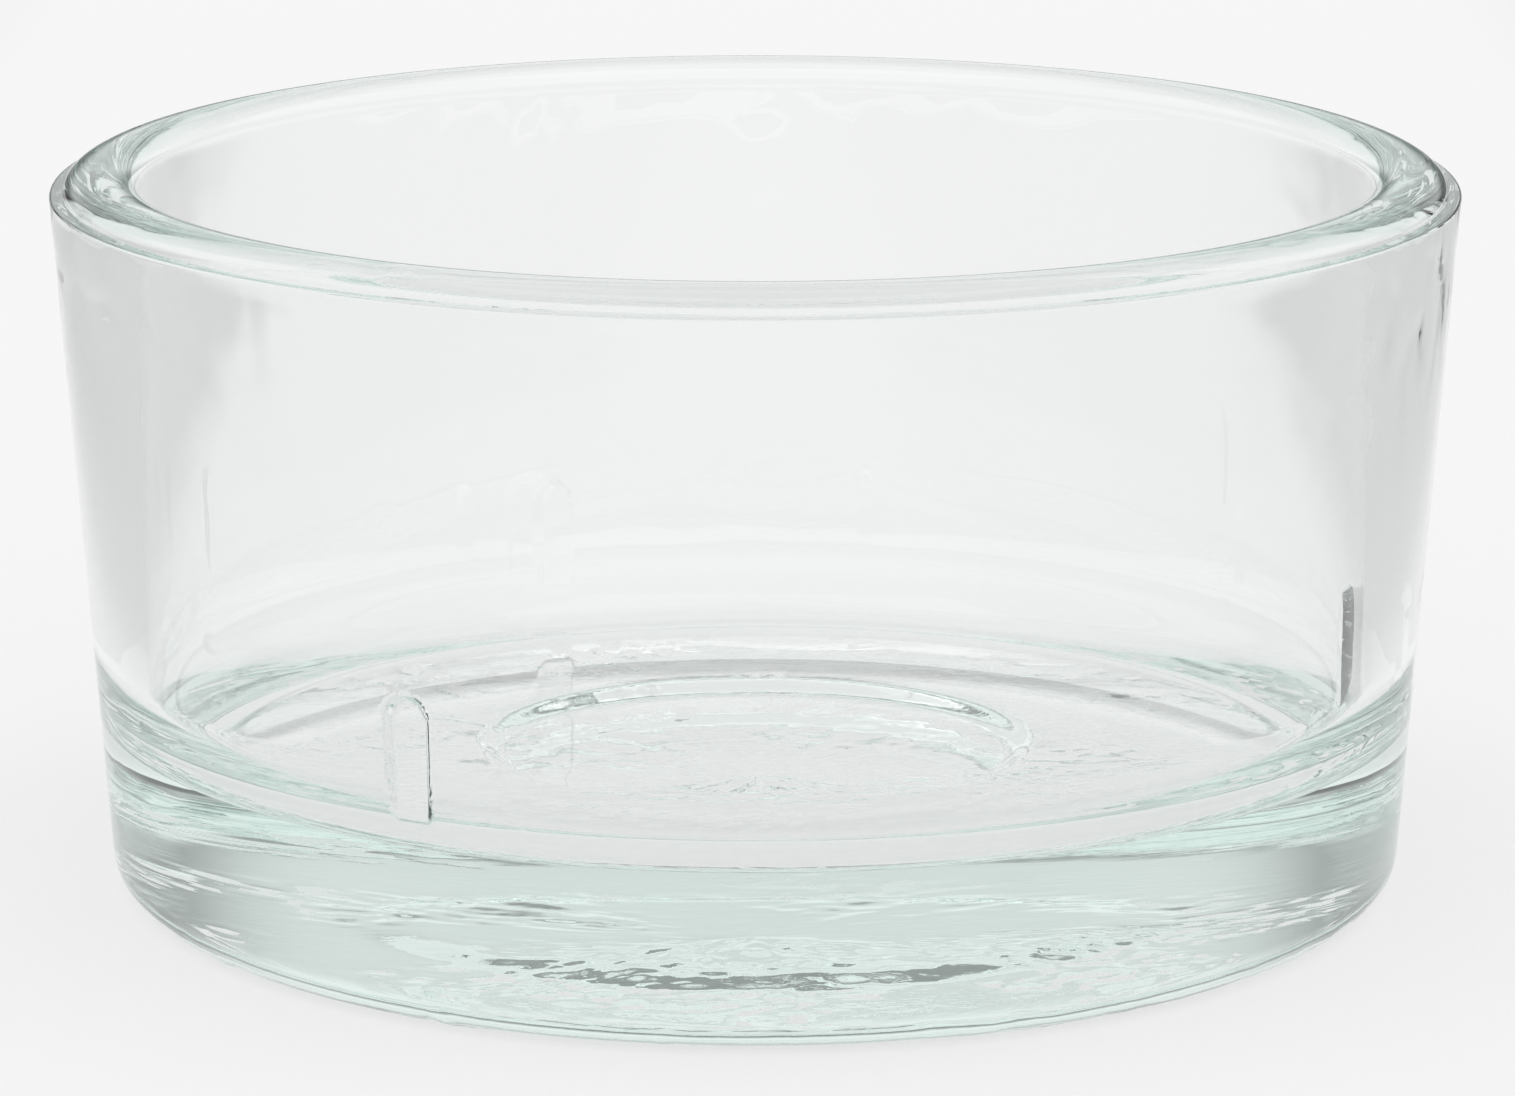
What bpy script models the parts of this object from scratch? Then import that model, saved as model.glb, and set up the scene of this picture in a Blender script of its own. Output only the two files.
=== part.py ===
"""A small pressed-glass dish with a heavy flat base, tapered wall and beaded rim.

The dish is one piece of glass. A plunger and a ring mould shape it in a single stroke, so the wall,
the rim bead, the shoulder under it, the three centring ribs inside, the round recess in the floor and
the hollow under the foot are all features of the same solid. It stands on the ring round that hollow.

Frame: metres, +Z up, origin on the axis in the plane that the foot stands on.
"""

import math

import bpy

MM = 0.001

# Outside of the body; the draft is how far the wall leans out for each unit that it rises
TOP_RADIUS = 25.0 * MM
SHOULDER_HEIGHT = 25.14 * MM
SHOULDER_ROUNDING = 0.15 * MM
SHOULDER_WIDTH = 0.45 * MM
OUTER_DRAFT = 0.0712
FOOT_ROUNDING = 1.35 * MM

# Rim bead, a half ellipse that stands on the shoulder plane
BEAD_WIDTH = 2.67 * MM
RIM_RISE = 0.80 * MM

# Inside of the body
WALL_AT_FLOOR = 2.0 * MM
FLOOR_THICKNESS = 5.6 * MM
FLOOR_FILLET = 3.2 * MM

# Round recess in the middle of the floor
RECESS_RADIUS = 10.2 * MM
RECESS_DEPTH = 0.4 * MM
RECESS_SLOPE = 1.3 * MM

# Hollow under the foot
HOLLOW_RADIUS = 10.4 * MM
HOLLOW_DEPTH = 0.25 * MM
HOLLOW_SLOPE = 2.6 * MM

# Ribs that centre what stands in the dish, with each one's turn about the axis in degrees
RIB_TURNS = (0.0, 116.5, -116.5)
RIB_WIDTH = 1.75 * MM
RIB_REACH = 0.5 * MM
RIB_TOP = 11.4 * MM
RIB_ROOT = 1.0 * MM
RIB_SINK = 0.5 * MM

# Fineness of the curves
TURN_STEPS = 72
CORNER_STEPS = 4
FILLET_STEPS = 6
BEAD_STEPS = 12
RIB_ARC_STEPS = 8

GLASS_COLOUR = (0.80, 0.88, 0.84, 1.0)
GLASS_IOR = 1.52

BASE_RADIUS = TOP_RADIUS - OUTER_DRAFT * SHOULDER_HEIGHT
MOUTH_RADIUS = TOP_RADIUS - SHOULDER_WIDTH - BEAD_WIDTH


def outer_radius(height):
    """Radius of the outer wall at a height above the foot plane."""
    return BASE_RADIUS + OUTER_DRAFT * height


INNER_FOOT_RADIUS = outer_radius(FLOOR_THICKNESS) - WALL_AT_FLOOR
INNER_DRAFT = (MOUTH_RADIUS - INNER_FOOT_RADIUS) / (SHOULDER_HEIGHT - FLOOR_THICKNESS)


def inner_radius(height):
    """Radius of the inner wall at a height above the foot plane."""
    return INNER_FOOT_RADIUS + INNER_DRAFT * (height - FLOOR_THICKNESS)


def arc(centre, radii, start, end, steps):
    """Points (radius, height) along an ellipse from angle start to angle end, in degrees."""
    points = []
    for step in range(steps + 1):
        angle = math.radians(start + (end - start) * step / steps)
        points.append((centre[0] + radii[0] * math.cos(angle), centre[1] + radii[1] * math.sin(angle)))
    return points


def floor_fillet():
    """The rounded corner between the flat floor and the drafted inner wall."""
    lean = math.degrees(math.atan(INNER_DRAFT))
    height = FLOOR_THICKNESS + FLOOR_FILLET
    reach = FLOOR_FILLET / math.cos(math.radians(lean))
    centre = (inner_radius(height) - reach, height)
    return arc(centre, (FLOOR_FILLET, FLOOR_FILLET), -90, -lean, FILLET_STEPS)


def rim_bead():
    """The bead, from the mouth over its crest to the shoulder."""
    centre = (MOUTH_RADIUS + BEAD_WIDTH / 2, SHOULDER_HEIGHT)
    return arc(centre, (BEAD_WIDTH / 2, RIM_RISE), 180, 0, BEAD_STEPS)


def shoulder():
    """The small rounded step that the ring mould leaves outside the bead."""
    centre = (TOP_RADIUS - SHOULDER_ROUNDING, SHOULDER_HEIGHT - SHOULDER_ROUNDING)
    return arc(centre, (SHOULDER_ROUNDING, SHOULDER_ROUNDING), 90, 0, CORNER_STEPS)


def foot_corner():
    """The rounded corner where the outer wall meets the foot plane."""
    centre = (outer_radius(FOOT_ROUNDING) - FOOT_ROUNDING, FOOT_ROUNDING)
    return arc(centre, (FOOT_ROUNDING, FOOT_ROUNDING), 0, -90, CORNER_STEPS)


def sloped_edge(radius, slope, depth):
    """The soft edge of a shallow round hollow, inwards from its rim, as (radius, depth) points."""
    points = []
    for step in range(CORNER_STEPS + 1):
        share = step / CORNER_STEPS
        points.append((radius - slope * share, depth * (1 - math.cos(math.pi * share)) / 2))
    return points


def floor_recess():
    """The shallow recess in the floor, from the axis out to its rim."""
    edge = sloped_edge(RECESS_RADIUS, RECESS_SLOPE, RECESS_DEPTH)
    return [(0.0, FLOOR_THICKNESS - RECESS_DEPTH)] + [(r, FLOOR_THICKNESS - depth) for r, depth in edge[::-1]]


def foot_hollow():
    """The shallow hollow under the foot, from its rim to the axis."""
    return sloped_edge(HOLLOW_RADIUS, HOLLOW_SLOPE, HOLLOW_DEPTH) + [(0.0, HOLLOW_DEPTH)]


def section():
    """The whole section, from the middle of the floor up over the rim and down to the foot."""
    points = floor_recess()
    points += floor_fillet()
    points += rim_bead()
    points += shoulder()
    points += foot_corner()
    points += foot_hollow()
    return points


def glass_material():
    """Clear soda-lime glass with the green tint of its iron."""
    material = bpy.data.materials.new("soda_lime_glass")
    material.use_nodes = True
    shader = material.node_tree.nodes["Principled BSDF"]
    shader.inputs["Base Color"].default_value = GLASS_COLOUR
    shader.inputs["Roughness"].default_value = 0.02
    shader.inputs["Metallic"].default_value = 0.0
    shader.inputs["Transmission Weight"].default_value = 1.0
    shader.inputs["IOR"].default_value = GLASS_IOR
    return material


def turned_dish(material):
    """The section turned about the axis."""
    points = section()
    mesh = bpy.data.meshes.new("dish")
    edges = [(index, index + 1) for index in range(len(points) - 1)]
    mesh.from_pydata([(radius, 0.0, height) for radius, height in points], edges, [])
    mesh.materials.append(material)
    dish = bpy.data.objects.new("dish", mesh)
    bpy.context.scene.collection.objects.link(dish)
    turn = dish.modifiers.new("turn", "SCREW")
    turn.steps = TURN_STEPS
    turn.render_steps = TURN_STEPS
    turn.use_smooth_shade = True
    turn.use_merge_vertices = True
    turn.merge_threshold = 0.0001
    return dish


def rib_outline():
    """A rib's outline across the wall: a round-topped bar, as (sideways, height) points."""
    half = RIB_WIDTH / 2
    foot = FLOOR_THICKNESS - RIB_SINK
    top = [(half, foot)]
    for step in range(RIB_ARC_STEPS + 1):
        angle = math.pi * step / RIB_ARC_STEPS
        top.append((half * math.cos(angle), RIB_TOP - half + half * math.sin(angle)))
    top.append((-half, foot))
    return top


def rib_block(index):
    """One rib as a solid bar that starts inside the wall and narrows towards its inner face."""
    outline = rib_outline()
    head_centre = RIB_TOP - RIB_WIDTH / 2
    vertices = []
    for outward in (RIB_ROOT, -RIB_REACH):
        share = 1 + outward / RIB_WIDTH
        for side, height in outline:
            rise = (share - 1) * max(0.0, height - head_centre)
            vertices.append((inner_radius(height) + outward, side * share, height + rise))
    count = len(outline)
    faces = [tuple(range(count))[::-1], tuple(range(count, 2 * count))]
    for corner in range(count):
        after = (corner + 1) % count
        faces.append((corner, after, count + after, count + corner))
    mesh = bpy.data.meshes.new(f"rib_{index}")
    mesh.from_pydata(vertices, [], faces)
    block = bpy.data.objects.new(f"rib_{index}", mesh)
    block.rotation_euler.z = math.radians(RIB_TURNS[index])
    bpy.context.scene.collection.objects.link(block)
    block.hide_render = True
    block.display_type = "WIRE"
    return block


def fuse(dish, block):
    """Make a rib part of the dish's own solid."""
    union = dish.modifiers.new(f"fuse_{block.name}", "BOOLEAN")
    union.operation = "UNION"
    union.object = block


def build():
    for old in list(bpy.data.objects):
        bpy.data.objects.remove(old, do_unlink=True)
    dish = turned_dish(glass_material())
    for index in range(len(RIB_TURNS)):
        fuse(dish, rib_block(index))


build()
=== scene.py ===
# %% [markdown]
# # A small pressed-glass dish
#
# The dish is one piece of soda-lime glass, pressed in a mould: a hot gob is dropped into a cup-shaped
# mould, a ring sits on top, and a plunger squeezes the glass up the wall until it fills the ring. That one
# stroke explains every feature: the wall tapers so that the mould lets go, the ring leaves a bead and a
# small shoulder under it, the plunger leaves three short ribs and a shallow recess in the floor, and the
# cold metal leaves faint wrinkles.
#
# The dish is built round a fixed frame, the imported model, which gives its true size and place.

# %% Load the frame
import math

import bmesh
import bpy
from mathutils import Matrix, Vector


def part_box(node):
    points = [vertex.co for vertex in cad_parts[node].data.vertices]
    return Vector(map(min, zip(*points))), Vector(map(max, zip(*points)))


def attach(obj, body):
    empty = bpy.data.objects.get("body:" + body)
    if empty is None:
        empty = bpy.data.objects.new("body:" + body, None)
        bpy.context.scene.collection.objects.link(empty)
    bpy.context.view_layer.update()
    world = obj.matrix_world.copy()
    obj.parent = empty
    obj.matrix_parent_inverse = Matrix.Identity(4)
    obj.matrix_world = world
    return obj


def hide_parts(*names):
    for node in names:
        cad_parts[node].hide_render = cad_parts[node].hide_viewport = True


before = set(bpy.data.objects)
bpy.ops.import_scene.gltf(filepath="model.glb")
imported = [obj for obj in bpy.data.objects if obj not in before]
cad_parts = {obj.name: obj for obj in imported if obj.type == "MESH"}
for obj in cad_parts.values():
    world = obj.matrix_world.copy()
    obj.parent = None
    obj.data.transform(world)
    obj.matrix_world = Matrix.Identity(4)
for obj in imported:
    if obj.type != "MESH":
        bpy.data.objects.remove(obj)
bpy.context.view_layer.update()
LOW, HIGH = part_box("dish")
print("dish box in mm", [round(1000 * (HIGH[i] - LOW[i]), 2) for i in range(3)])

# %% [markdown]
# ## Sizes
#
# Everything is in metres. The overall width and height come from the frame, so the looks can't drift away
# from the model that is tested. The rest are the dish's own sizes: the wall, the thick base, the ribs, and
# the two shallow hollows, one in the floor and one under the foot.

# %% Sizes of the dish
MM = 0.001
TOP_RADIUS = (HIGH[0] - LOW[0]) / 2
HEIGHT = HIGH[2] - LOW[2]
RIM_RISE = 0.80 * MM
SHOULDER_HEIGHT = HEIGHT - RIM_RISE
BASE_RADIUS = 23.21 * MM
SHOULDER_WIDTH = 0.45 * MM
SHOULDER_ROUNDING = 0.15 * MM
BEAD_WIDTH = 2.67 * MM
WALL_AT_FLOOR = 2.0 * MM
FLOOR_THICKNESS = 5.6 * MM
FLOOR_FILLET = 3.2 * MM
FOOT_ROUNDING = 1.35 * MM
RECESS_RADIUS = 10.2 * MM
RECESS_DEPTH = 0.4 * MM
RECESS_SLOPE = 1.3 * MM
HOLLOW_RADIUS = 10.4 * MM
HOLLOW_DEPTH = 0.25 * MM
HOLLOW_SLOPE = 2.6 * MM
RIB_COUNT = 3
RIB_WIDTH = 1.75 * MM
RIB_REACH = 0.5 * MM
RIB_TOP = 11.4 * MM
RIB_SPREAD = math.radians(3.5)

MOUTH_RADIUS = TOP_RADIUS - SHOULDER_WIDTH - BEAD_WIDTH
OUTER_DRAFT = (TOP_RADIUS - BASE_RADIUS) / SHOULDER_HEIGHT
INNER_FOOT_RADIUS = BASE_RADIUS + OUTER_DRAFT * FLOOR_THICKNESS - WALL_AT_FLOOR
INNER_DRAFT = (MOUTH_RADIUS - INNER_FOOT_RADIUS) / (SHOULDER_HEIGHT - FLOOR_THICKNESS)
print("mouth", round(2000 * MOUTH_RADIUS, 2), "mm across")
print("outer draft", round(math.degrees(math.atan(OUTER_DRAFT)), 2), "degrees")

# %% [markdown]
# ## Helpers
#
# Two small functions serve the whole file. One adds a node with its settings and links. The other turns a
# hex colour, as a designer writes it, to the linear light that a renderer works in.


# %% Node and colour helpers
def node(tree, kind, inputs=(), out=0, **settings):
    """Add a node with its settings. Inputs, by order or by name, are numbers or sockets to link."""
    made = tree.nodes.new(kind)
    for name, value in settings.items():
        setattr(made, name, value)
    for key, value in inputs.items() if isinstance(inputs, dict) else enumerate(inputs):
        if isinstance(value, bpy.types.NodeSocket):
            tree.links.new(value, made.inputs[key])
        elif value is not None:
            made.inputs[key].default_value = value
    return made if out is None else made.outputs[out]


def linear(code):
    """A hex sRGB colour as linear red, green and blue with an alpha of 1."""
    channels = [int(code[place:place + 2], 16) / 255 for place in (1, 3, 5)]
    curve = [c / 12.92 if c <= 0.04045 else ((c + 0.055) / 1.055) ** 2.4 for c in channels]
    return (*curve, 1.0)


# %% [markdown]
# ## The section
#
# A pressed dish is a turned shape, so its design is a section: half of the outline that a cut through the
# axis would show. It runs from the middle of the floor, up the inner wall, over the rim bead, down the
# outside and back under the foot. Straight stretches are cut into short steps, because the glass surface
# gets fine wrinkles later, and each stretch carries a number that says which surface it belongs to.

# %% Points of the section
FLOOR, WALL_IN, RIM, WALL_OUT, FOOT, HOLLOW = range(6)
EDGE_STEPS = 10
FILLET_STEPS = 16
BEAD_STEPS = 28
SHOULDER_STEPS = 6
CORNER_STEPS = 8
RECESS_STEPS = 12
FLOOR_STEPS = 14
RIB_STEPS = 26
INNER_WALL_STEPS = 34
LEDGE_STEPS = 3
OUTER_WALL_STEPS = 40
FOOT_STEPS = 24
HOLLOW_STEPS = 22
CLEAR_OF_RIB = 0.3 * MM


def straight(start, end, steps):
    """Points along a line, with both ends left out."""
    shares = [step / steps for step in range(1, steps)]
    return [(start[0] + (end[0] - start[0]) * s, start[1] + (end[1] - start[1]) * s) for s in shares]


def arc(centre, radii, start, end, steps):
    """Points along an ellipse from one angle to another, in degrees, both ends kept."""
    angles = [math.radians(start + (end - start) * step / steps) for step in range(steps + 1)]
    return [(centre[0] + radii[0] * math.cos(a), centre[1] + radii[1] * math.sin(a)) for a in angles]


def inner_radius(height):
    """Radius of the inner wall at a height above the foot plane."""
    return INNER_FOOT_RADIUS + INNER_DRAFT * (height - FLOOR_THICKNESS)


def sloped_edge(radius, slope, depth):
    """The soft edge of a shallow round hollow, inwards from its rim, as (radius, depth) points."""
    shares = [step / EDGE_STEPS for step in range(EDGE_STEPS + 1)]
    return [(radius - slope * s, depth * (1 - math.cos(math.pi * s)) / 2) for s in shares]


def section():
    """The whole section as (radius, height, surface) points."""
    lean = math.degrees(math.atan(INNER_DRAFT))
    fillet_height = FLOOR_THICKNESS + FLOOR_FILLET
    fillet_reach = FLOOR_FILLET / math.cos(math.radians(lean))
    fillet_centre = (inner_radius(fillet_height) - fillet_reach, fillet_height)
    fillet = arc(fillet_centre, (FLOOR_FILLET, FLOOR_FILLET), -90, -lean, FILLET_STEPS)
    half_bead = BEAD_WIDTH / 2
    bead = arc((MOUTH_RADIUS + half_bead, SHOULDER_HEIGHT), (half_bead, RIM_RISE), 180, 0, BEAD_STEPS)
    edge = (TOP_RADIUS - SHOULDER_ROUNDING, SHOULDER_HEIGHT - SHOULDER_ROUNDING)
    shoulder = arc(edge, (SHOULDER_ROUNDING, SHOULDER_ROUNDING), 90, 0, SHOULDER_STEPS)
    corner_radius = BASE_RADIUS + OUTER_DRAFT * FOOT_ROUNDING
    corner_centre = (corner_radius - FOOT_ROUNDING, FOOT_ROUNDING)
    corner = arc(corner_centre, (FOOT_ROUNDING, FOOT_ROUNDING), 0, -90, CORNER_STEPS)
    over_rib = (inner_radius(RIB_TOP + CLEAR_OF_RIB), RIB_TOP + CLEAR_OF_RIB)
    recess = [(r, FLOOR_THICKNESS - depth)
              for r, depth in sloped_edge(RECESS_RADIUS, RECESS_SLOPE, RECESS_DEPTH)[::-1]]
    middle = (0.0, FLOOR_THICKNESS - RECESS_DEPTH)
    slope = sloped_edge(HOLLOW_RADIUS, HOLLOW_SLOPE, HOLLOW_DEPTH)
    hollow = straight(slope[-1], (0.0, HOLLOW_DEPTH), HOLLOW_STEPS) + [(0.0, HOLLOW_DEPTH)]
    floor_in = [middle] + straight(middle, recess[0], RECESS_STEPS) + recess
    runs = [
        (FLOOR, floor_in + straight(recess[-1], fillet[0], FLOOR_STEPS)),
        (WALL_IN, fillet + straight(fillet[-1], over_rib, RIB_STEPS) + [over_rib]),
        (WALL_IN, straight(over_rib, bead[0], INNER_WALL_STEPS)),
        (RIM, bead),
        (RIM, straight(bead[-1], shoulder[0], LEDGE_STEPS) + shoulder),
        (WALL_OUT, straight(shoulder[-1], corner[0], OUTER_WALL_STEPS)),
        (FOOT, corner + straight(corner[-1], slope[0], FOOT_STEPS)),
        (HOLLOW, slope + hollow),
    ]
    return [(r, z, surface) for surface, points in runs for r, z in points]


SECTION = section()
print(len(SECTION), "points in the section")

# %% [markdown]
# ## The section as a wire
#
# The points become a wire mesh, in order, with the surface number stored on each point. The wire is the
# only thing that the node tree below is given; the tree does the turning and the pressing.

# %% Make the wire
wire = bpy.data.meshes.new("dish")
wire.from_pydata([(r, 0.0, z) for r, z, _ in SECTION], [(i, i + 1) for i in range(len(SECTION) - 1)], [])
for name, surface in (("on_wall_in", WALL_IN), ("on_wall_out", WALL_OUT), ("on_foot", FOOT),
                      ("on_hollow", HOLLOW), ("on_floor", FLOOR)):
    marks = wire.attributes.new(name, "FLOAT", "POINT")
    marks.data.foreach_set("value", [1.0 if s == surface else 0.0 for _, _, s in SECTION])
dish = bpy.data.objects.new("dish_glass", wire)
bpy.context.scene.collection.objects.link(dish)

# %% [markdown]
# ## Glass
#
# Soda-lime glass is the glass of bottles and tableware. It bends light by about 1.52, and a little iron
# makes it green, but only through centimetres of it: the wall looks clear and the thick base looks green.
# So the tint is in the volume, as absorption, and the surface stays colourless. Pressed glass that was
# polished by a flame is mirror smooth, with a long, low swell, here seven swells across the dish. Only the
# underside has a fine stipple, because it touched the belt of the cooling oven. A real stipple is finer
# than this one, which is drawn as coarse as it needs to be to show.

# %% Glass material
GLASS_IOR = 1.52
GLASS_TINT = linear("#c4ede0")
GLASS_DENSITY = 9.0
SWELL_LENGTH = 50 * MM / 7
SWELL_DEPTH = 0.02 * MM
STIPPLE_LENGTH = MM / 2.2
STIPPLE_DEPTH = 0.01 * MM
UNDERSIDE_FADE = (0.8 * MM, 0.6 * MM)


def soda_lime_glass():
    """Pressed, flame-polished soda-lime glass: clear surface, green through its depth."""
    made = bpy.data.materials.new("soda_lime_glass")
    made.use_nodes = True
    tree = made.node_tree
    tree.nodes.clear()
    place = node(tree, "ShaderNodeTexCoord", out=3)
    swell = node(tree, "ShaderNodeTexNoise", {
        "Vector": place, "Scale": 1 / SWELL_LENGTH, "Detail": 1.0, "Distortion": 0.4})
    rest_height = node(tree, "ShaderNodeSeparateXYZ", [place], out=2)
    underside = node(tree, "ShaderNodeMapRange", {
        "Value": rest_height, "From Min": UNDERSIDE_FADE[0], "From Max": UNDERSIDE_FADE[1]})
    stipple = node(tree, "ShaderNodeTexNoise", {"Vector": place, "Scale": 1 / STIPPLE_LENGTH, "Detail": 2.0})
    stipple = node(tree, "ShaderNodeMath", [stipple, underside], operation="MULTIPLY")
    bump = node(tree, "ShaderNodeBump", {"Strength": 0.25, "Distance": SWELL_DEPTH, "Height": swell})
    bump = node(tree, "ShaderNodeBump", {
        "Strength": 0.6, "Distance": STIPPLE_DEPTH, "Height": stipple, "Normal": bump})
    shader = node(tree, "ShaderNodeBsdfPrincipled", {
        "Base Color": linear("#ffffff"), "Roughness": 0.0, "IOR": GLASS_IOR,
        "Transmission Weight": 1.0, "Normal": bump})
    depth = node(tree, "ShaderNodeVolumeAbsorption", {"Color": GLASS_TINT, "Density": GLASS_DENSITY})
    node(tree, "ShaderNodeOutputMaterial", {"Surface": shader, "Volume": depth}, out=None)
    return made


GLASS = soda_lime_glass()

# %% [markdown]
# ## Turning and pressing
#
# A lathe would turn the wire into a solid, and a boolean could add the ribs, but a boolean leaves hard
# seams where real pressed glass flows. Here a node tree does both at once. It starts with a flat grid with
# one row for each point of the section, and moves each corner to its place round the axis. The columns
# crowd together near the ribs, so that these are round and the rest stays light.

# %% Inputs of the tree
tree = bpy.data.node_groups.new("turn_and_press", "GeometryNodeTree")
tree.interface.new_socket("Geometry", in_out="OUTPUT", socket_type="NodeSocketGeometry")
INPUTS = [
    ("Section", "NodeSocketGeometry", None),
    ("Columns", "NodeSocketInt", 360),
    ("Crowding", "NodeSocketFloat", 0.86),
    ("Rib Count", "NodeSocketFloat", float(RIB_COUNT)),
    ("Rib Width", "NodeSocketFloat", RIB_WIDTH),
    ("Rib Reach", "NodeSocketFloat", RIB_REACH),
    ("Rib Top", "NodeSocketFloat", RIB_TOP),
    ("Rib Slope", "NodeSocketFloat", 0.30 * MM),
    ("Rib Spread", "NodeSocketFloat", RIB_SPREAD),
    ("Wall Foot Radius", "NodeSocketFloat", INNER_FOOT_RADIUS),
    ("Wall Foot Height", "NodeSocketFloat", FLOOR_THICKNESS),
    ("Wall Draft", "NodeSocketFloat", INNER_DRAFT),
    ("Wrinkle Depth", "NodeSocketFloat", 0.12 * MM),
    ("Wrinkle Size", "NodeSocketFloat", 3.0 * MM),
    ("Wrinkle Low", "NodeSocketFloat", 15.0 * MM),
    ("Wrinkle High", "NodeSocketFloat", 22.0 * MM),
    ("Ripple Depth", "NodeSocketFloat", 0.002 * MM),
    ("Grit Depth", "NodeSocketFloat", 0.28 * MM),
    ("Grit Centre", "NodeSocketVector", (-1.0 * MM, -8.0 * MM, 0.0)),
    ("Grit Size", "NodeSocketFloat", 0.9 * MM),
    ("Glass", "NodeSocketMaterial", GLASS),
]
SOCKETS = {}
for name, kind, default in INPUTS:
    socket = tree.interface.new_socket(name, in_out="INPUT", socket_type=kind)
    SOCKETS[name] = socket.identifier
given = tree.nodes.new("NodeGroupInput").outputs

# %% [markdown]
# ### From rows and columns to the turned surface
#
# The grid's corners are numbered column by column. The remainder after dividing by the number of rows gives
# the row, which looks up its point of the section, and the quotient gives the column, which is an angle.

# %% Turn
rows = node(tree, "GeometryNodeAttributeDomainSize", [given["Section"]], component="MESH")
columns_with_seam = node(tree, "FunctionNodeIntegerMath", [given["Columns"], 1], operation="ADD")
grid = node(tree, "GeometryNodeMeshGrid", [1.0, 1.0, columns_with_seam, rows])
index = node(tree, "GeometryNodeInputIndex")
row = node(tree, "FunctionNodeIntegerMath", [index, rows], operation="MODULO")
column = node(tree, "FunctionNodeIntegerMath", [index, rows], operation="DIVIDE_FLOOR")
here = node(tree, "GeometryNodeInputPosition")
on_section = node(tree, "GeometryNodeSampleIndex", {
    "Geometry": given["Section"], "Value": here, "Index": row}, data_type="FLOAT_VECTOR")
radius, _, height = node(tree, "ShaderNodeSeparateXYZ", [on_section], out=None).outputs

turn_share = node(tree, "ShaderNodeMath", [column, given["Columns"]], operation="DIVIDE")
turn = node(tree, "ShaderNodeMath", [turn_share, math.tau], operation="MULTIPLY")
rib_turn = node(tree, "ShaderNodeMath", [turn, given["Rib Count"]], operation="MULTIPLY")
rib_sine = node(tree, "ShaderNodeMath", [rib_turn], operation="SINE")
pull = node(tree, "ShaderNodeMath", [given["Crowding"], given["Rib Count"]], operation="DIVIDE")
shift = node(tree, "ShaderNodeMath", [rib_sine, pull], operation="MULTIPLY")
angle = node(tree, "ShaderNodeMath", [turn, shift], operation="SUBTRACT")


def mark(name):
    """The number stored on the section for this row."""
    stored = node(tree, "GeometryNodeInputNamedAttribute", [name], data_type="FLOAT")
    return node(tree, "GeometryNodeSampleIndex", {
        "Geometry": given["Section"], "Value": stored, "Index": row}, data_type="FLOAT")


on_wall_in, on_wall_out, on_foot = mark("on_wall_in"), mark("on_wall_out"), mark("on_foot")
on_hollow, on_floor = mark("on_hollow"), mark("on_floor")

# %% [markdown]
# ### Ribs
#
# A rib is everything within half its width of an upright centre line, so the distance to that line says
# how far the glass stands out: fully near the line, and sloping to nothing at the edge. Above the line's
# top end the distance turns round it, which gives the rib its round head. Where the rib runs down into the
# rounded corner of the floor, the lesser of the two radii wins, and the rib dies away.

# %% Press the ribs
pitch = node(tree, "ShaderNodeMath", [math.tau, given["Rib Count"]], operation="DIVIDE")
half_pitch = node(tree, "ShaderNodeMath", [pitch, 0.5], operation="MULTIPLY")
minus_half_pitch = node(tree, "ShaderNodeMath", [half_pitch, -1.0], operation="MULTIPLY")
from_rib = node(tree, "ShaderNodeMath", [angle, half_pitch, minus_half_pitch], operation="WRAP")
sideways = node(tree, "ShaderNodeMath", [from_rib, radius], operation="MULTIPLY")
half_width = node(tree, "ShaderNodeMath", [given["Rib Width"], 0.5], operation="MULTIPLY")
head_centre = node(tree, "ShaderNodeMath", [given["Rib Top"], half_width], operation="SUBTRACT")
above = node(tree, "ShaderNodeMath", [height, head_centre], operation="SUBTRACT")
above = node(tree, "ShaderNodeMath", [above, 0.0], operation="MAXIMUM")
offset = node(tree, "ShaderNodeCombineXYZ", [sideways, above, 0.0])
distance = node(tree, "ShaderNodeVectorMath", [offset], out="Value", operation="LENGTH")
face_edge = node(tree, "ShaderNodeMath", [half_width, given["Rib Slope"]], operation="SUBTRACT")
stand_out = node(tree, "ShaderNodeMapRange", {
    "Value": distance, "From Min": face_edge, "From Max": half_width,
    "To Min": 1.0, "To Max": 0.0}, interpolation_type="SMOOTHSTEP")
reach = node(tree, "ShaderNodeMath", [stand_out, given["Rib Reach"]], operation="MULTIPLY")
above_foot = node(tree, "ShaderNodeMath", [height, given["Wall Foot Height"]], operation="SUBTRACT")
wall_radius = node(tree, "ShaderNodeMath", [above_foot, given["Wall Draft"], given["Wall Foot Radius"]],
                   operation="MULTIPLY_ADD")
rib_radius = node(tree, "ShaderNodeMath", [wall_radius, reach], operation="SUBTRACT")
lesser = node(tree, "ShaderNodeMath", [radius, rib_radius], operation="MINIMUM")
pressed = node(tree, "ShaderNodeMix", {0: on_wall_in, 2: radius, 3: lesser}, data_type="FLOAT")

# %% [markdown]
# ### Wrinkles and grit
#
# Hot glass that touches a colder mould skins over and wrinkles. That happens at the top of the wall, which
# the glass reaches last, and only in patches. The wrinkles are a few hundredths of a millimetre deep. The
# underside is gritty in the same way, but finer, from the belt that it stood on while it was soft. The grit
# comes in worn patches and in one larger patch where the dish was pressed down. The floor has a very low
# ripple in rings, as the plunger's turned face leaves it.

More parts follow.
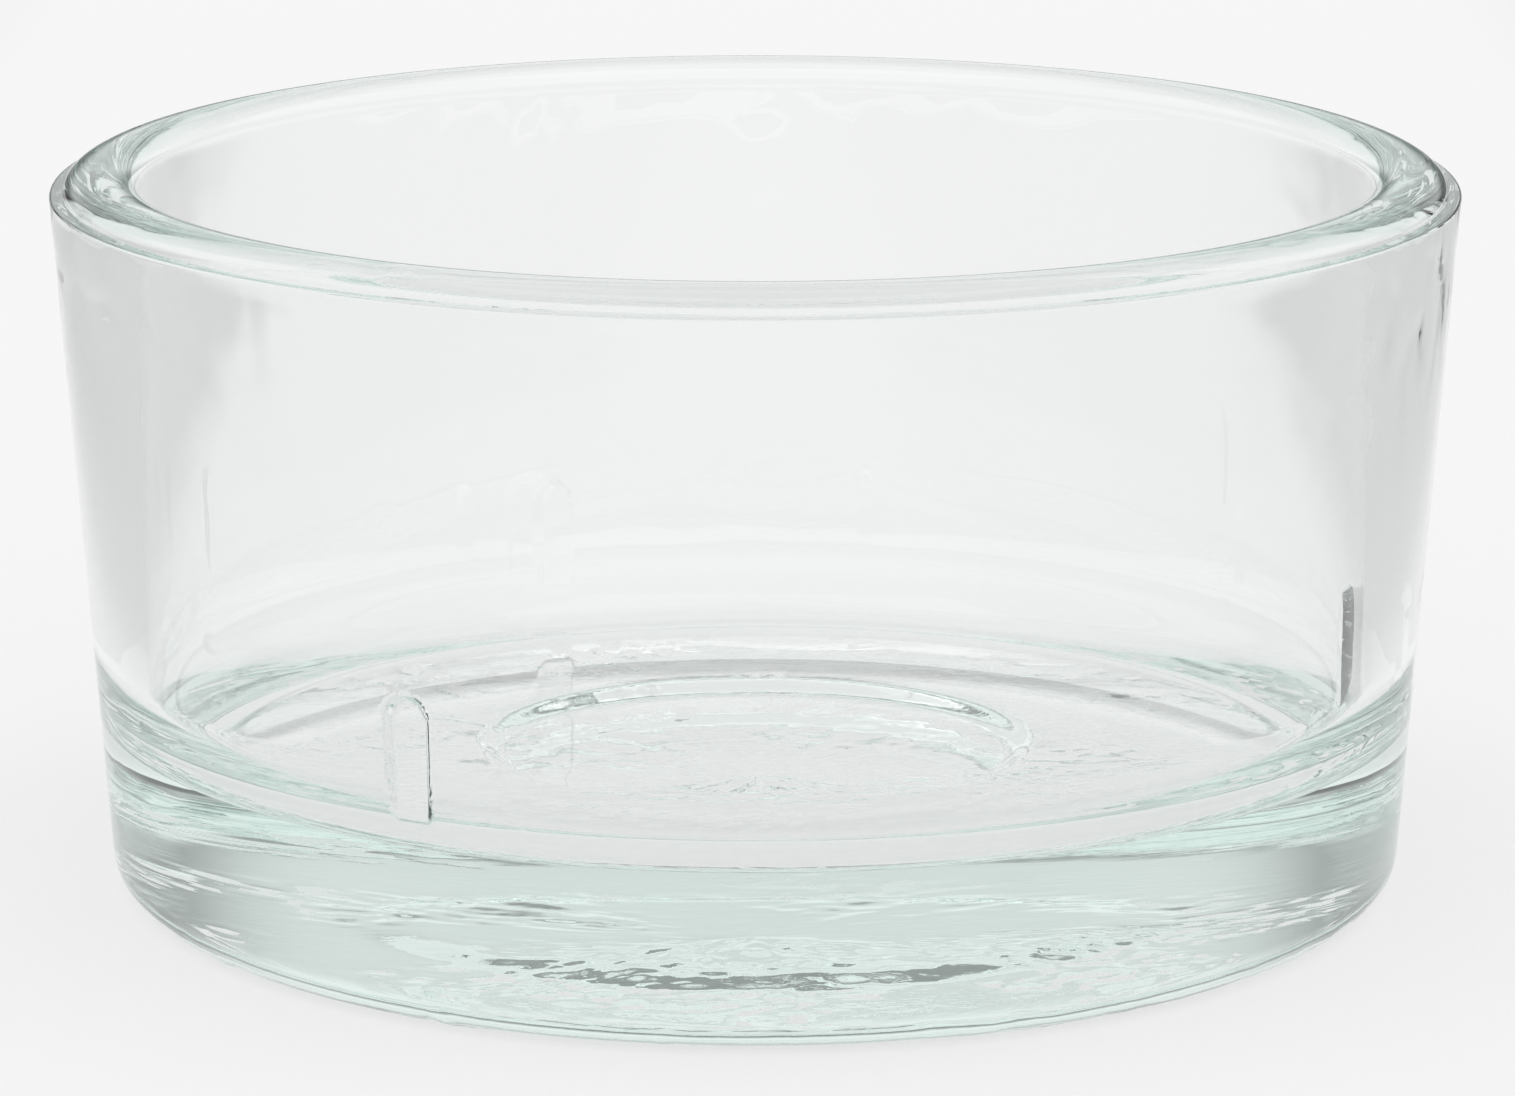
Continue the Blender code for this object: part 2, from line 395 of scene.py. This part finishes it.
# %% Wrinkle the wall and roughen the underside
PATCH_SIZE = 100 * MM / 9
WORN_SIZE = 100 * MM / 13
WORN_RANGE = (0.44, 0.60)
PRESS_FADE = (8.5 * MM, 4.0 * MM)
LIGHT_GRIT = 0.01 * MM
RIPPLE_PITCH = 1.3 * MM
RIPPLE_SWAY = 1.6 * MM
ring = node(tree, "ShaderNodeCombineXYZ", [pressed, 0.0, height])
turned = node(tree, "ShaderNodeVectorRotate", {"Vector": ring, "Angle": angle}, rotation_type="Z_AXIS")
wrinkle_scale = node(tree, "ShaderNodeMath", [1.0, given["Wrinkle Size"]], operation="DIVIDE")
wrinkles = node(tree, "ShaderNodeTexNoise", {"Vector": turned, "Scale": wrinkle_scale, "Detail": 3.0,
                                             "Roughness": 0.55, "Distortion": 1.2})
patches = node(tree, "ShaderNodeTexNoise", {"Vector": turned, "Scale": 1 / PATCH_SIZE, "Detail": 1.0})
patch = node(tree, "ShaderNodeMapRange", {"Value": patches, "From Min": 0.45, "From Max": 0.62},
             interpolation_type="SMOOTHSTEP")
near_top = node(tree, "ShaderNodeMapRange", {
    "Value": height, "From Min": given["Wrinkle Low"],
    "From Max": given["Wrinkle High"]}, interpolation_type="SMOOTHSTEP")
on_wall = node(tree, "ShaderNodeMath", [on_wall_in, on_wall_out], operation="ADD")
strength = node(tree, "ShaderNodeMath", [patch, near_top], operation="MULTIPLY")
strength = node(tree, "ShaderNodeMath", [strength, on_wall], operation="MULTIPLY")
strength = node(tree, "ShaderNodeMath", [strength, given["Wrinkle Depth"]], operation="MULTIPLY")
centred = node(tree, "ShaderNodeMath", [wrinkles, 0.5], operation="SUBTRACT")
wrinkle = node(tree, "ShaderNodeMath", [centred, strength], operation="MULTIPLY")
final_radius = node(tree, "ShaderNodeMath", [pressed, wrinkle], operation="ADD")
grit_scale = node(tree, "ShaderNodeMath", [1.0, given["Grit Size"]], operation="DIVIDE")
grit = node(tree, "ShaderNodeTexNoise", {"Vector": turned, "Scale": grit_scale, "Detail": 2.0})
worn = node(tree, "ShaderNodeTexNoise", {"Vector": turned, "Scale": 1 / WORN_SIZE, "Detail": 1.0})
worn = node(tree, "ShaderNodeMapRange", {"Value": worn, "From Min": WORN_RANGE[0], "From Max": WORN_RANGE[1]},
            interpolation_type="SMOOTHSTEP")
from_press = node(tree, "ShaderNodeVectorMath", [turned, given["Grit Centre"]],
                  out="Value", operation="DISTANCE")
pressed_patch = node(tree, "ShaderNodeMapRange", {
    "Value": from_press, "From Min": PRESS_FADE[0],
    "From Max": PRESS_FADE[1]}, interpolation_type="SMOOTHSTEP")
gritty = node(tree, "ShaderNodeMath", [worn, pressed_patch], operation="MAXIMUM")
grit_depth = node(tree, "ShaderNodeMath", [gritty, given["Grit Depth"], LIGHT_GRIT], operation="MULTIPLY_ADD")
grit = node(tree, "ShaderNodeMath", [grit, 0.5], operation="SUBTRACT")
grit_rise = node(tree, "ShaderNodeMath", [grit, grit_depth], operation="MULTIPLY")
under = node(tree, "ShaderNodeMath", [on_foot, on_hollow], operation="ADD")
grit_rise = node(tree, "ShaderNodeMath", [grit_rise, under], operation="MULTIPLY")
sway = node(tree, "ShaderNodeMath", [patches, RIPPLE_SWAY], operation="MULTIPLY")
swayed = node(tree, "ShaderNodeMath", [radius, sway], operation="ADD")
ripple_turn = node(tree, "ShaderNodeMath", [swayed, math.tau / RIPPLE_PITCH], operation="MULTIPLY")
ripple = node(tree, "ShaderNodeMath", [ripple_turn], operation="SINE")
ripple = node(tree, "ShaderNodeMath", [ripple, given["Ripple Depth"]], operation="MULTIPLY")
ripple = node(tree, "ShaderNodeMath", [ripple, on_floor], operation="MULTIPLY")
rise = node(tree, "ShaderNodeMath", [grit_rise, ripple], operation="ADD")
final_height = node(tree, "ShaderNodeMath", [height, rise], operation="ADD")

# %% [markdown]
# ### Draw the second and third ribs together
#
# The ribs so far stand a third of a turn apart. On this dish the second and third stand a little nearer to
# the first. Moving the columns themselves does that, and it keeps them crowded where the ribs are: each
# column near one of the two ribs turns by the spread, and columns half a pitch away do not turn.

# %% Draw the second and third ribs together


def nearness(turns):
    """From 0 half a pitch away to 1 at a rib that is this number of pitches from the first."""
    centre = node(tree, "ShaderNodeMath", [pitch, float(turns)], operation="MULTIPLY")
    past = node(tree, "ShaderNodeMath", [angle, centre], operation="SUBTRACT")
    away = node(tree, "ShaderNodeMath", [past], operation="ABSOLUTE")
    return node(tree, "ShaderNodeMapRange", {"Value": away, "From Min": half_pitch, "From Max": 0.0},
                interpolation_type="SMOOTHSTEP")


spread_side = node(tree, "ShaderNodeMath", [nearness(2), nearness(1)], operation="SUBTRACT")
spread_turn = node(tree, "ShaderNodeMath", [spread_side, given["Rib Spread"]], operation="MULTIPLY")
angle = node(tree, "ShaderNodeMath", [angle, spread_turn], operation="ADD")

# %% [markdown]
# ### Close the mesh
#
# The grid's first and last columns lie on each other, and so do all the points on the axis. Merging points
# that all but touch closes the seam and both poles, so that the glass is one watertight shell.

# %% Close the mesh and finish the tree
MERGE_DISTANCE = 0.002 * MM
ring = node(tree, "ShaderNodeCombineXYZ", [final_radius, 0.0, final_height])
final_place = node(tree, "ShaderNodeVectorRotate", {"Vector": ring, "Angle": angle}, rotation_type="Z_AXIS")
placed = node(tree, "GeometryNodeSetPosition", {"Geometry": grid, "Position": final_place})
closed = node(tree, "GeometryNodeMergeByDistance", {"Geometry": placed, "Distance": MERGE_DISTANCE})
smooth = node(tree, "GeometryNodeSetShadeSmooth", {"Geometry": closed})
whole = node(tree, "GeometryNodeRealizeInstances", [smooth])
glazed = node(tree, "GeometryNodeSetMaterial", {"Geometry": whole, "Material": given["Glass"]})
node(tree, "NodeGroupOutput", [glazed], out=None)

# %% [markdown]
# ### Run the tree
#
# The modifier's inputs are set by each socket's identifier, then the result is read as a plain mesh and
# the modifier is taken off. The faces must point out, or light would enter the glass as if it left it.

# %% Make the mesh
SHARP_ANGLE = math.radians(38)
press = dish.modifiers.new("press", "NODES")
press.node_group = tree
for name, kind, value in INPUTS[1:]:
    press[SOCKETS[name]] = value
graph = bpy.context.evaluated_depsgraph_get()
pressed_mesh = bpy.data.meshes.new_from_object(dish.evaluated_get(graph))
dish.modifiers.clear()
dish.data = pressed_mesh
pressed_mesh.name = "dish_glass"
shell = bmesh.new()
shell.from_mesh(pressed_mesh)
bmesh.ops.recalc_face_normals(shell, faces=shell.faces)
open_edges = sum(not edge.is_manifold for edge in shell.edges)
volume = shell.calc_volume(signed=True)
shell.to_mesh(pressed_mesh)
shell.free()
pressed_mesh.set_sharp_from_angle(angle=SHARP_ANGLE)
print(len(pressed_mesh.polygons), "faces,", open_edges, "open edges,", round(volume * 1e6, 2), "cm3")

# %% [markdown]
# ## Studio
#
# Clear glass has no colour of its own to show. It shows what is behind it, bent, so the stage is what gives
# it its look. The table glows by itself and fades to both sides of the camera's view. That makes its glow
# uneven when it is seen from the side or from behind; one even glow would be plainer.

# %% Stage
VIEW_TURN = math.radians(4.4)
CAMERA_AWAY = 221.15 * MM
CAMERA_HEIGHT = 64.39 * MM
CAMERA_PITCH = 0.234
FOCAL_IN_WIDTHS = 4.1590
SENSOR = 36.0
AIM_ASIDE = 0.076 * MM
FLOOR_REACH = 0.6
FLOOR_CORNERS = 64
FLOOR_DROP = 0.01 * MM
GLOW_FADE = (46 * MM, 72 * MM)
GLOW = (0.63, 0.43)


def stage_floor():
    """A round, pale, glowing floor that fades to both sides of the view."""
    mesh = bpy.data.meshes.new("stage_floor")
    turns = [math.tau * i / FLOOR_CORNERS for i in range(FLOOR_CORNERS)]
    corners = [(FLOOR_REACH * math.cos(t), FLOOR_REACH * math.sin(t), 0.0) for t in turns]
    mesh.from_pydata(corners, [], [tuple(range(FLOOR_CORNERS))])
    floor = bpy.data.objects.new("stage_floor", mesh)
    bpy.context.scene.collection.objects.link(floor)
    painted_glow_floor_material = bpy.data.materials.new("floor_with_painted_glow")
    painted_glow_floor_material.use_nodes = True
    shader = painted_glow_floor_material.node_tree.nodes["Principled BSDF"]
    shader.inputs["Base Color"].default_value = (0.35, 0.35, 0.35, 1.0)
    shader.inputs["Roughness"].default_value = 1.0
    shader.inputs["Specular IOR Level"].default_value = 0.0
    # Painted light: the floor glows by its own emission, though it is no lamp. The glow is brightest in a
    # band along the camera's view and fades to both sides of it.
    shader.inputs["Emission Color"].default_value = linear("#ffffff")
    tree = painted_glow_floor_material.node_tree
    place = node(tree, "ShaderNodeTexCoord", out=3)
    across = (math.cos(VIEW_TURN), math.sin(VIEW_TURN), 0.0)
    aside = node(tree, "ShaderNodeVectorMath", [place, across], out="Value", operation="DOT_PRODUCT")
    aside = node(tree, "ShaderNodeMath", [aside], operation="ABSOLUTE")
    fade = node(tree, "ShaderNodeMapRange", {
        "Value": aside, "From Min": GLOW_FADE[0], "From Max": GLOW_FADE[1],
        "To Min": GLOW[0], "To Max": GLOW[1]}, interpolation_type="SMOOTHSTEP")
    tree.links.new(fade, shader.inputs["Emission Strength"])
    mesh.materials.append(painted_glow_floor_material)
    return floor


floor = stage_floor()
floor.location.z = -FLOOR_DROP

# %% [markdown]
# ## Light tent
#
# Round the table stands a light tent, drawn as a sky. Two numbers place a point of it: its lift, which is 0
# at the horizon and 1 straight up, and how far it faces ahead, which is 1 straight ahead of the camera and
# 0 to the sides. The tent has a bright sheet ahead, bright flanks everywhere else above the table, and a
# roof that is dim where it hangs ahead. Between them it is dim, and the horizon is dimmer still, because
# glass edges need something dark to show. Each part passes softly from one strength to another between two
# values of its lift or its facing, and the table below gives those four numbers.

# %% Light tent
BRIGHT, DIM = 0.72, 0.24
HORIZON_LEFT = 0.20

world = bpy.data.worlds.new("light_tent")
bpy.context.scene.world = world
world.use_nodes = True
sky = world.node_tree
sky.nodes.clear()
direction = node(sky, "ShaderNodeTexCoord", out=0)
lift = node(sky, "ShaderNodeSeparateXYZ", [direction], out=2)
compass = node(sky, "ShaderNodeVectorMath", [direction, (1.0, 1.0, 0.0)], operation="MULTIPLY")
compass = node(sky, "ShaderNodeVectorMath", [compass], operation="NORMALIZE")
ahead = (-math.sin(VIEW_TURN), math.cos(VIEW_TURN), 0.0)
facing = node(sky, "ShaderNodeVectorMath", [compass, ahead], out="Value", operation="DOT_PRODUCT")
TENT = {
    "sheet_sides": (facing, 0.55, 0.90, 0.0, 1.0),
    "sheet_top": (lift, 0.55, 0.38, 0.15, 1.0),
    "sheet_fall": (lift, 0.16, 0.30, 1.0, 0.72),
    "roof_edge": (lift, 0.72, 0.92, 0.0, 1.0),
    "roof_ahead": (facing, 0.6, 0.2, 0.1, 1.0),
    "flank_foot": (lift, 0.22, 0.42, 0.0, 1.0),
    "flank_edge": (facing, 0.75, 0.55, 0.0, 1.0),
    "above_horizon": (lift, 0.05, 0.16, 0.0, 1.0),
}
field = {}
for name, (value, start, end, strength_at_start, strength_at_end) in TENT.items():
    field[name] = node(sky, "ShaderNodeMapRange", {
        "Value": value, "From Min": start, "From Max": end,
        "To Min": strength_at_start, "To Max": strength_at_end}, interpolation_type="SMOOTHSTEP")

roof = node(sky, "ShaderNodeMath", [field["roof_edge"], field["roof_ahead"]], operation="MULTIPLY")
sheet = node(sky, "ShaderNodeMath", [field["sheet_sides"], field["sheet_top"]], operation="MULTIPLY")
sheet = node(sky, "ShaderNodeMath", [sheet, field["sheet_fall"]], operation="MULTIPLY")
flank = node(sky, "ShaderNodeMath", [field["flank_foot"], field["flank_edge"]], operation="MULTIPLY")
cover = node(sky, "ShaderNodeMath", [sheet, roof], operation="MAXIMUM")
cover = node(sky, "ShaderNodeMath", [cover, flank], operation="MAXIMUM")
bright = node(sky, "ShaderNodeMath", [cover, BRIGHT, DIM], operation="MULTIPLY_ADD")
dim = node(sky, "ShaderNodeMath", [field["above_horizon"], 1 - HORIZON_LEFT, HORIZON_LEFT],
           operation="MULTIPLY_ADD")
bright = node(sky, "ShaderNodeMath", [bright, dim], operation="MULTIPLY")
glow = node(sky, "ShaderNodeBackground", {"Color": linear("#ffffff"), "Strength": bright})
node(sky, "ShaderNodeOutputWorld", [glow], out=None)
print("light tent of", len(sky.nodes), "nodes")

# %% Softbox
LAMP_WIDTH = 0.9
LAMP_POWER = 1.2
LAMP_PLACE = (0.0, 0.2, 1.0)

lamp_data = bpy.data.lights.new("overhead_softbox", "AREA")
lamp_data.shape = "RECTANGLE"
lamp_data.size = LAMP_WIDTH
lamp_data.size_y = LAMP_WIDTH
lamp_data.energy = LAMP_POWER
lamp = bpy.data.objects.new("overhead_softbox", lamp_data)
lamp.location = LAMP_PLACE
bpy.context.scene.collection.objects.link(lamp)

# %% [markdown]
# ## Camera
#
# A long lens from about 22 cm away, a little above the rim, looks slightly down into the dish. Light that
# enters the thick base is thrown to and fro many times before it leaves, so the renderer is allowed many
# bounces. With few, such paths stop early and leave black patches in the glass.

# %% Camera
LIGHT_BOUNCES = 20
CLIP = (0.01, 20.0)
camera_data = bpy.data.cameras.new("camera")
camera_data.sensor_width = SENSOR
camera_data.lens = FOCAL_IN_WIDTHS * SENSOR
camera_data.clip_start = CLIP[0]
camera_data.clip_end = CLIP[1]
camera = bpy.data.objects.new("camera", camera_data)
sideways_of_view = (math.cos(VIEW_TURN), math.sin(VIEW_TURN))
camera.location = (CAMERA_AWAY * math.sin(VIEW_TURN) + AIM_ASIDE * sideways_of_view[0],
                   -CAMERA_AWAY * math.cos(VIEW_TURN) + AIM_ASIDE * sideways_of_view[1], CAMERA_HEIGHT)
camera.rotation_euler = (math.pi / 2 - CAMERA_PITCH, 0.0, VIEW_TURN)
bpy.context.scene.collection.objects.link(camera)
bpy.context.scene.camera = camera
bpy.context.scene.view_settings.view_transform = "Standard"
bpy.context.scene.cycles.max_bounces = LIGHT_BOUNCES
bpy.context.scene.cycles.glossy_bounces = LIGHT_BOUNCES
bpy.context.scene.cycles.transmission_bounces = LIGHT_BOUNCES
print("camera at", [round(1000 * place, 1) for place in camera.location], "mm")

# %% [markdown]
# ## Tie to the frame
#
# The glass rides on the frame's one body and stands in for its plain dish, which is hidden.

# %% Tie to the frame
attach(dish, "root")
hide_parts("dish")
